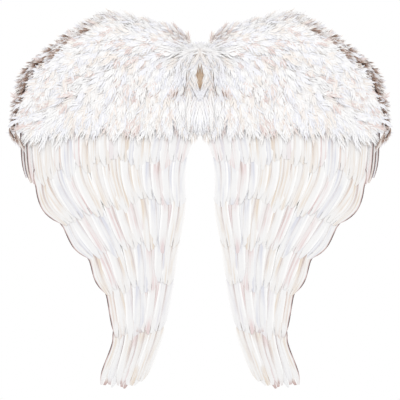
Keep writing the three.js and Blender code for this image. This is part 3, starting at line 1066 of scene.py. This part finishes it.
    def row_stock(self, line: int) -> Stock:
        """Gathers the plumes whose tips reach down to a tip line.

        Args:
            line: The tip line.

        Returns:
            The row's plumes for the right wing.
        """
        stock, draws = Stock(), self.draws
        half, low, high = self.window
        for n in range(self.row_count):
            share = (n + draws.uniform(0, 1)) / self.row_count
            place = self.row_place(share, max(0.0, line - draws.uniform(0.55, 1.6)))
            if place[0] < half and low < place[1] < high:
                continue
            crest = through(self.crest_tips, np.array([share]))[0]
            below = max(0.0, float(crest[1] - place[1]))
            angle = self.heading(place, below) + draws.normal(0, 0.26) * min(1.0, 0.3 + share * 4)
            last = line == LAST_DOWN_LINE
            lowest, highest, pitch = (4, 5.5, -0.06) if last else (1.5, 5, 0.03)
            longer = draws.uniform(0, 0.5) * last
            self.add_plume(
                stock, place, angle if place[0] > 30 * MM else angle * 0.2,
                height=draws.uniform(lowest, highest) * MM, pitch=pitch + draws.uniform(-0.04, 0.04),
                length=self.plume_length * (draws.uniform(0.8, 1.15) + longer), stain=0.0,
                slim=1 - 0.9 * longer,
            )
        return stock

    def parting_stock(self) -> Stock:
        """Gathers the tufts in the middle: a whorl at the top, tufts that hang from it and dark strands."""
        stock, draws = Stock(), self.draws
        for _ in range(self.whorl_count):
            angle = draws.uniform(0.1, 2 * math.pi - 1.2)
            run = np.array([math.sin(angle), -math.cos(angle)])
            short = 1 - 0.6 * max(0.0, float(run[1]))
            self.add_plume(
                stock, self.source_place + run * draws.uniform(*self.whorl_radii) * short**2, angle,
                height=(5 - 3 * run[1] + draws.uniform(-1.5, 1.5)) * MM, pitch=draws.uniform(0.0, 0.12),
                length=draws.uniform(18, 30) * short * MM, stain=0.0, slim=0.6, tint=draws.uniform(0.25, 0.9),
            )
        beside_gap, below_gap = self.hanging_slimness
        for n in range(self.hanging_count):
            root, run = (78 - 84 * n / self.hanging_count) * MM, draws.uniform(32, 44) * MM
            gaps = np.interp((-root, run - root), *np.array(self.gap) * MM) + draws.uniform(4, 13, 2) * MM
            self.add_plume(
                stock, np.array([gaps[0], root]), math.atan2(gaps[1] - gaps[0], run),
                height=draws.uniform(6, 10) * MM, pitch=draws.uniform(-0.05, 0.05),
                length=run, stain=0.0, slim=beside_gap,
            )
        for _ in range(self.hanging_count):
            place = np.array([draws.uniform(0, 24) * MM, draws.uniform(-46, -6) * MM])
            self.add_plume(
                stock, place, draws.normal(0, 0.06) - place[0] * 4,
                height=draws.uniform(6, 10) * MM, pitch=draws.uniform(-0.05, 0.05),
                length=place[1] + draws.uniform(82, 86) * MM, stain=0.0, slim=below_gap,
            )
        for x, z, angle, length, slim, stain in self.marks:
            self.add_plume(
                stock, np.array([x, z]) * MM, angle, height=self.mark_height, pitch=0.0,
                length=length * MM, stain=stain, slim=slim,
            )
        return stock

    def dress(self, material: bpy.types.Material) -> None:
        """Builds both wings' down in place of the model's."""
        lines = range(1, LAST_DOWN_LINE + 1)
        stocks = {"parting": self.parting_stock(), "crest": self.crest_stock()}
        stocks |= {f"row_{line}": self.row_stock(line) for line in lines}
        nodes = {"crest": "crest_down"} | {f"row_{line}": f"down_row_{line}" for line in lines}
        for patch, stock in stocks.items():
            for side in Side:
                piece = stock.piece(f"{side.word}_plumes_{patch}", side, material, smooth=False)
                if patch in nodes:
                    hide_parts(f"{side.word}_{nodes[patch]}")
                LOG.info("%s: %d faces", piece.name, len(piece.data.polygons))


@dataclass
class FeltBacking:
    """Stiff felt behind each wing, cut to the feathers' outline."""

    thickness: float = 3 * MM
    columns: int = 40
    lengths: int = 48

    def dress(self, material: bpy.types.Material) -> None:
        """Builds both wings' felt in place of the model's."""
        sheet = Template.grid(across=self.columns, along=self.lengths)
        across, up = sheet.points[:, 0], sheet.points[:, 1]
        section = through(np.array(FELT_SECTIONS), across)
        x = section[:, 0] * SHEET.half_span
        z = (section[:, 2] + (section[:, 1] - section[:, 2]) * up) * SHEET.height
        stock = Stock()
        lay = np.stack([x / MM, z / MM, np.zeros(len(x))], axis=-1)
        stock.add(SHEET.on_wing(x, z, np.full(len(x), -self.thickness / 2)), sheet, lay, (0.0, 0.0, 0.0))
        for side in Side:
            piece = stock.piece(f"{side.word}_felt", side, material)
            thicken(piece, self.thickness)
            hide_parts(f"{side.word}_backing")
            LOG.info("%s: %.0f mm thick", piece.name, self.thickness / MM)


@dataclass
class Harness:
    """The joining panel, the elastic loops for the arms and the thread that holds them."""

    corner: float = 14 * MM
    edge: float = 0.8 * MM
    strap_columns: int = 6
    strap_lengths: int = 150
    strap_width: float = 25 * MM
    strap_thickness: float = 1.5 * MM
    strap_spacing: float = 60 * MM
    strap_reach: float = 160 * MM
    strap_rise: float = 100 * MM
    strap_fullness: float = 1.22
    strap_sewn: float = 24 * MM
    seat_gap: float = 0.3 * MM
    stitch_length: float = 3.2 * MM
    stitch_spacing: float = 1.3
    stitch_radius: float = 0.45 * MM
    stitch_inset: float = 5 * MM
    strap_stitch_inset: float = 3 * MM
    corner_cut: float = 0.7

    def panel(self, material: bpy.types.Material) -> None:
        """Builds the panel: a stiff tan board with round corners and softened edges."""
        low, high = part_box("joining_panel")
        bm = bmesh.new()
        bmesh.ops.create_cube(bm, size=1)
        bmesh.ops.scale(bm, vec=high - low, verts=bm.verts)
        bmesh.ops.translate(bm, vec=(low + high) / 2, verts=bm.verts)
        corners = [e for e in bm.edges if abs(e.verts[0].co.y - e.verts[1].co.y) > self.edge]
        bmesh.ops.bevel(
            bm, geom=corners, offset=self.corner, segments=8, profile=0.5, affect="EDGES", material=-1
        )
        flats = [f for f in bm.faces if abs(f.normal.y) > 0.9]
        rims = list(dict.fromkeys(edge for f in flats for edge in f.edges))
        bmesh.ops.bevel(
            bm, geom=rims, offset=self.edge, segments=3, profile=0.5, affect="EDGES", material=-1
        )
        bmesh.ops.triangulate(bm, faces=[f for f in bm.faces if len(f.verts) > 4])
        mesh = bpy.data.meshes.new("tan_panel")
        bm.to_mesh(mesh)
        bm.free()
        piece = finished("tan_panel", mesh, material, smooth=False)
        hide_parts("joining_panel")
        LOG.info("%s: %.0f by %.0f mm", piece.name, (high - low).x / MM, (high - low).z / MM)

    def strap_route(self) -> np.ndarray:
        """Places along a loop, y and z: sewn end, round behind the panel, sewn end."""
        low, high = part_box("joining_panel")
        seat = self.seat_gap + self.strap_thickness / 2
        end = high.z - self.corner
        top = self.strap_rise * self.strap_fullness
        corners = np.array([(seat, end), (seat, top), (self.strap_reach, top), (self.strap_reach, 0)])
        t = np.linspace(0, 1, 40)[:, None]
        weights = np.hstack([(1 - t) ** 3, 3 * t * (1 - t) ** 2, 3 * t**2 * (1 - t), t**3])
        upper = np.vstack([(seat, end - self.strap_sewn), weights @ corners])
        return np.vstack([upper, (upper * (1, -1))[::-1][1:]])

    def strap_stock(self) -> Stock:
        """Gathers the band of the right-hand loop, evenly divided along its length."""
        route = self.strap_route()
        steps = np.concatenate([[0], np.cumsum(np.linalg.norm(np.diff(route, axis=0), axis=1))])
        band = Template.grid(across=self.strap_columns, along=self.strap_lengths)
        run = band.points[:, 1] * steps[-1]
        y, z = (np.interp(run, steps, column) for column in route.T)
        across = (band.points[:, 0] - 0.5) * self.strap_width
        points = np.stack([self.strap_spacing / 2 + across, y, z], axis=-1)
        stock = Stock()
        lay = np.stack([across / MM, run / MM, np.zeros(len(run))], axis=-1)
        stock.add(points, band, lay, (0.0, 0.0, 0.0))
        return stock

    def add_stitches(self, stock: Stock, corners: list, y: float) -> None:
        """Adds a run of stitches.

        Args:
            stock: What they are added to.
            corners: The x and z of the run's corners.
            y: The face that they lie on.
        """
        grain = Template.stitch()
        for start, end in zip(corners, corners[1:]):
            start, end = np.array(start), np.array(end)
            length = float(np.linalg.norm(end - start))
            count = max(1, round(length / (self.stitch_length * self.stitch_spacing)))
            run = (end - start) / length
            for n in range(count):
                middle = start + (end - start) * (n + 0.5) / count
                along, beside, over = grain.points.T
                along = along * self.stitch_length
                beside, over = beside * self.stitch_radius * 2, over * self.stitch_radius * 2
                x = middle[0] + along * run[0] - beside * run[1]
                z = middle[1] + along * run[1] + beside * run[0]
                points = np.stack([x, y - over, z], axis=-1)
                lay = np.stack([along / MM, beside / MM, np.full(len(along), float(n))], axis=-1)
                stock.add(points, grain, lay, (0.0, 0.0, 0.0))

    def thread(self, material: bpy.types.Material) -> None:
        """Sews round the panel on both faces, and a crossed box on each strap end."""
        low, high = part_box("joining_panel")
        stock = Stock()
        x, z = high.x - self.stitch_inset, high.z - self.stitch_inset
        cut = self.corner * self.corner_cut
        ring = [
            (-x + cut, z), (x - cut, z), (x, z - cut), (x, -z + cut), (x - cut, -z),
            (-x + cut, -z), (-x, -z + cut), (-x, z - cut), (-x + cut, z),
        ]
        for y in (low.y, high.y):
            self.add_stitches(stock, ring, y)
        half = self.strap_width / 2 - self.strap_stitch_inset
        outer = self.seat_gap + self.strap_thickness
        for side in Side:
            middle = side.value * self.strap_spacing / 2
            for end in (-1, 1):
                far = end * (high.z - self.corner - self.strap_stitch_inset)
                near = end * (high.z - self.corner - self.strap_sewn + self.strap_stitch_inset)
                a, b = (middle - half, near), (middle + half, near)
                c, d = (middle + half, far), (middle - half, far)
                self.add_stitches(stock, [a, b, c, d, a, c], outer)
                self.add_stitches(stock, [b, d], outer)
        piece = stock.piece("sewing_thread", Side.RIGHT, material)
        LOG.info("%s: %d stitches", piece.name, len(stock.points))

    def dress(self, tan: bpy.types.Material, elastic: bpy.types.Material) -> None:
        """Builds the panel, both loops and the thread."""
        self.panel(tan)
        stock = self.strap_stock()
        for side in Side:
            piece = stock.piece(f"{side.word}_elastic_loop", side, elastic)
            thicken(piece, self.strap_thickness)
            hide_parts(f"{side.word}_arm_loop")
            LOG.info("%s: %.0f mm wide", piece.name, self.strap_width / MM)
        self.thread(elastic)


@dataclass
class Studio:
    """A white studio: the camera, soft lights and a small pale floor."""

    field: float = 0.8
    middle_height: float = -0.224
    distance: float = 4.03
    sensor: float = 36.0
    floor_height: float = -0.72
    floor_radius: float = 0.9
    light_spread: float = 0.8
    light_place: tuple = (-2.0, 1.9)
    light_size: float = 1.4
    light_power: float = 13

    def camera(self) -> None:
        """Looks straight at the feathered side, as the photograph does."""
        data = bpy.data.cameras.new("camera")
        data.sensor_width = self.sensor
        data.lens = self.sensor * self.distance / self.field
        data.clip_end = 50
        camera = bpy.data.objects.new("camera", data)
        camera.location = (0, -self.distance, self.middle_height)
        camera.rotation_euler = (math.pi / 2, 0, 0)
        bpy.context.scene.collection.objects.link(camera)
        bpy.context.scene.camera = camera

    def light(self, side: Side) -> None:
        """Adds a square soft light that faces the wings.

        Args:
            side: The side on which it stands.
        """
        place = (side.value * self.light_spread, *self.light_place)
        name = f"{side.word}_light"
        data = bpy.data.lights.new(name, "AREA")
        data.size = self.light_size
        data.energy = self.light_power
        lamp = bpy.data.objects.new(name, data)
        lamp.location = place
        towards = Vector((0, 0, self.middle_height)) - Vector(place)
        lamp.rotation_euler = towards.to_track_quat("-Z", "Y").to_euler()
        bpy.context.scene.collection.objects.link(lamp)

    def floor(self) -> None:
        """Lays a round pale floor under the wings."""
        graph = Graph("studio_floor")
        place = graph.node("ShaderNodeTexCoord").outputs["Object"]
        grain = graph.noise(place, (40, 40, 40), 3)
        colour = graph.blend(graph.calc(grain, 0.1), (0.93, 0.93, 0.93), (0.86, 0.86, 0.86))
        graph.finish(colour, grain, relief_depth=0.1 * MM, roughness=0.9, sheen=0.0, specular=0.1)
        bm = bmesh.new()
        bmesh.ops.create_circle(bm, cap_ends=True, segments=96, radius=self.floor_radius)
        bmesh.ops.translate(bm, vec=(0, 0, self.floor_height), verts=bm.verts)
        mesh = bpy.data.meshes.new("floor")
        bm.to_mesh(mesh)
        bm.free()
        mesh.materials.append(graph.material)
        floor = bpy.data.objects.new("floor", mesh)
        bpy.context.scene.collection.objects.link(floor)

    def world(self) -> None:
        """Fills the room with even white light."""
        world = bpy.data.worlds.new("white_room")
        world.use_nodes = True
        background = world.node_tree.nodes["Background"]
        background.inputs["Color"].default_value = (1, 1, 1, 1)
        background.inputs["Strength"].default_value = 1.0
        bpy.context.scene.world = world
        bpy.context.scene.view_settings.view_transform = "Standard"

    def build(self) -> None:
        """Sets up the whole studio."""
        self.camera()
        self.world()
        self.floor()
        for side in reversed(Side):
            self.light(side)


def main() -> None:
    """Builds the studio and dresses the wings."""
    logging.basicConfig(level=logging.INFO, format="%(name)s: %(message)s")
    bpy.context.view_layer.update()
    Studio().build()
    FlatFeathers().dress(VaneFinish().material())
    DownCoat().dress(DownFinish().material())
    felt = FeltFinish("pressed_felt", (0.82, 0.8, 0.75), (0.62, 0.58, 0.52))
    FeltBacking().dress(felt.material())
    tan = FeltFinish("tan_suede", (0.98, 0.77, 0.58), (0.74, 0.49, 0.31))
    Harness().dress(tan.material(), ElasticFinish().material())


if __name__ == "__main__":
    main()
